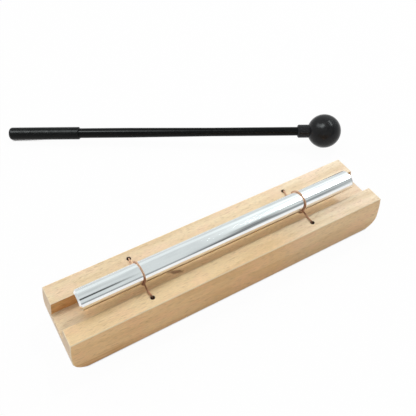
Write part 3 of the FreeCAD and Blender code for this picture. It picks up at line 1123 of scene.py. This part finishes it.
REFLECTORS: dict[str, Reflector] = {
    "overhead softbox": Reflector(82.0, (28.0, 20.0), 0.62, (0.19, 0.14), 0.30),
    "back softbox": Reflector(42.0, (8.0, 16.0), 0.3, (0.6, 0.3), 0.18),
    "lamp stand": Reflector(127.0, (3.5, 8.0), 0.03, (0.11, 0.06), -0.70),
    "stand's shade": Reflector(85.0, (4.0, 14.0), 0.0, (0.12, 0.10), -0.10),
    "horizon": Reflector(176.0, (7.0, 8.0), 0.14, (0.20, 0.08), -0.36),
    "curtain": Reflector(164.0, (5.0, 12.0), 0.43, (0.07, 0.09), -0.42),
    "curtain top": Reflector(144.0, (9.0, 9.0), 0.405, (0.012, 0.05), -0.42),
    "far wall": Reflector(142.0, (12.0, 12.0), 0.58, (0.05, 0.05), -0.22),
    "left lamp": Reflector(66.0, (8.0, 16.0), -0.56, (0.06, 0.14), 7.0),
    "left bar": Reflector(90.0, (5.0, 11.0), -0.38, (0.10, 0.20), 13.0),
    "right strip": Reflector(99.0, (14.0, 8.0), 0.53, (0.03, 0.03), 18.0),
}


@dataclass
class Studio:
    """The floor, the sky, the lamp and the camera.

    Args:
        sky_low: the sky's light on surfaces that aren't glossy.
        sky_rise: what the fill from behind overhead adds to it.
        fill_window: the fill's middle, half extent and soft edge, as an angle about X in degrees.
        gloss_light: the sky's light in reflections, before the reflectors.
        gloss_red: the share of red in it, which makes it a little cool.
        floor_half: half the side of the floor.
        floor_z: the height of the floor.
        paper: the floor's own colour.
        floor_glow: how white the open floor is to the camera.
        open_span: the share of open sky where that starts and is full.
        contact_mm: how far round the object the floor keeps its shadow.
        key_watts: the key lamp's power.
        key_way: the way from the origin to it.
        key_far: how far away it is.
        key_size: how wide it is.
        camera_mm: the camera's place.
        camera_right: its right side, as a unit direction.
        camera_up: its upper side.
        camera_ahead: the way that it looks.
        lens: its focal length.
        sensor: the width of its sensor.
    """

    sky_low: float = 0.43
    sky_rise: float = 1.15
    fill_window: Point = (52.0, 18.0, 9.0)
    gloss_light: float = 0.76
    gloss_red: float = 0.935
    floor_half: float = 3.0
    floor_z: float = -0.0002
    paper: Colour = (0.78, 0.78, 0.78)
    floor_glow: float = 0.97
    open_span: Span = (0.25, 0.62)
    contact_mm: float = 1.4
    key_watts: float = 4.2
    key_way: Point = (0.47, 0.269, 0.84)
    key_far: float = 1.2
    key_size: float = 0.12
    camera_mm: Point = (-114.04, -173.82, 279.32)
    camera_right: Point = (0.8634, -0.5045, 0.0084)
    camera_up: Point = (0.3678, 0.6406, 0.6741)
    camera_ahead: Point = (0.3454, 0.5789, -0.7386)
    lens: float = 49.84
    sensor: float = 36.0

    def build(self) -> None:
        """Builds the whole studio."""
        bpy.context.scene.view_settings.view_transform = "Standard"
        self.make_floor()
        self.make_sky()
        self.make_lamp()
        self.make_camera()

    def make_floor(self) -> None:
        """A pale floor that stays white to the camera and keeps a soft shadow."""
        mesh = bpy.data.meshes.new("floor")
        sides = ((-1, -1), (1, -1), (1, 1), (-1, 1))
        corners = [(x * self.floor_half, y * self.floor_half, self.floor_z) for x, y in sides]
        mesh.from_pydata(corners, [], [(0, 1, 2, 3)])
        material, g = new_material("floor")
        path = g.node("ShaderNodeLightPath").outputs
        seen = g.math("MAXIMUM", path["Is Camera Ray"], path["Is Glossy Ray"])
        seen = g.math("MAXIMUM", seen, path["Is Transmission Ray"])
        paper = g.node("ShaderNodeBsdfDiffuse", {"Color": opaque(self.paper)}).outputs[0]
        glow = g.node("ShaderNodeEmission", {"Color": opaque(WHITE), "Strength": 1.0}).outputs[0]
        feeds = {"Distance": self.contact_mm * MM}
        open_share = g.node("ShaderNodeAmbientOcclusion", feeds, samples=8).outputs["AO"]
        share = g.product(seen, g.smooth(open_share, *self.open_span, 0.0, self.floor_glow))
        surface = g.node("ShaderNodeMixShader", {0: share, 1: paper, 2: glow}).outputs[0]
        g.node("ShaderNodeOutputMaterial", {"Surface": surface})
        mesh.materials.append(material)
        add_object("floor", mesh)

    def make_sky(self) -> None:
        """An even sky, white to the camera, with the studio's own shapes for glossy surfaces."""
        world = bpy.data.worlds.new("studio")
        bpy.context.scene.world = world
        world.use_nodes = True
        g = NodeGraph(world.node_tree)
        x, y, z = g.split(g.node("ShaderNodeTexCoord").outputs["Generated"])
        angle = g.product(g.math("ARCTAN2", z, y), math.degrees(1.0))
        light: Feed = self.gloss_light
        for item in REFLECTORS.values():
            patch = g.product(g.window(angle, item.height, *item.reach), g.window(x, item.side, *item.span))
            light = g.math("ADD", light, g.product(patch, item.light))
        feeds = {0: g.product(light, self.gloss_red), 1: light, 2: light}
        gloss = g.node("ShaderNodeCombineColor", feeds).outputs[0]
        fill = g.product(g.window(angle, *self.fill_window), self.sky_rise)
        plain = g.grey(g.math("ADD", self.sky_low, fill))
        path = g.node("ShaderNodeLightPath").outputs
        colour = g.mix(path["Is Glossy Ray"], plain, gloss)
        seen = g.math("MAXIMUM", path["Is Camera Ray"], path["Is Transmission Ray"])
        colour = g.mix(seen, colour, opaque(WHITE))
        shader = g.node("ShaderNodeBackground", {"Color": colour, "Strength": 1.0}).outputs[0]
        g.node("ShaderNodeOutputWorld", {"Surface": shader})

    def make_lamp(self) -> None:
        """The key lamp, which gives the soft shadows."""
        lamp = bpy.data.lights.new("key", "AREA")
        lamp.energy = self.key_watts
        lamp.size = self.key_size
        key = bpy.data.objects.new("key", lamp)
        way = Vector(self.key_way).normalized()
        key.location = way * self.key_far
        key.rotation_euler = way.to_track_quat("Z", "Y").to_euler()
        key.visible_glossy = False
        bpy.context.scene.collection.objects.link(key)

    def make_camera(self) -> None:
        """The camera, at the photograph's place and angle."""
        lens = bpy.data.cameras.new("camera")
        lens.lens = self.lens
        lens.sensor_width = self.sensor
        lens.clip_start = 0.01
        camera = bpy.data.objects.new("camera", lens)
        columns = (self.camera_right, self.camera_up, tuple(-v for v in self.camera_ahead))
        turn = Matrix(columns).transposed().to_4x4()
        camera.matrix_world = Matrix.Translation(Vector(self.camera_mm) * MM) @ turn
        bpy.context.scene.collection.objects.link(camera)
        bpy.context.scene.camera = camera


def main() -> None:
    """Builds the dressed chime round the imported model."""
    logging.basicConfig(level=logging.INFO, format="%(name)s: %(message)s")
    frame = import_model()
    Studio().build()
    cord_finish = CordFinish().make()
    for sling in (LEFT_SLING, RIGHT_SLING):
        sling.build(cord_finish)
    for piece in (Block(), SoundingRod(), Mallet()):
        piece.build(frame)


if __name__ == "__main__":
    main()
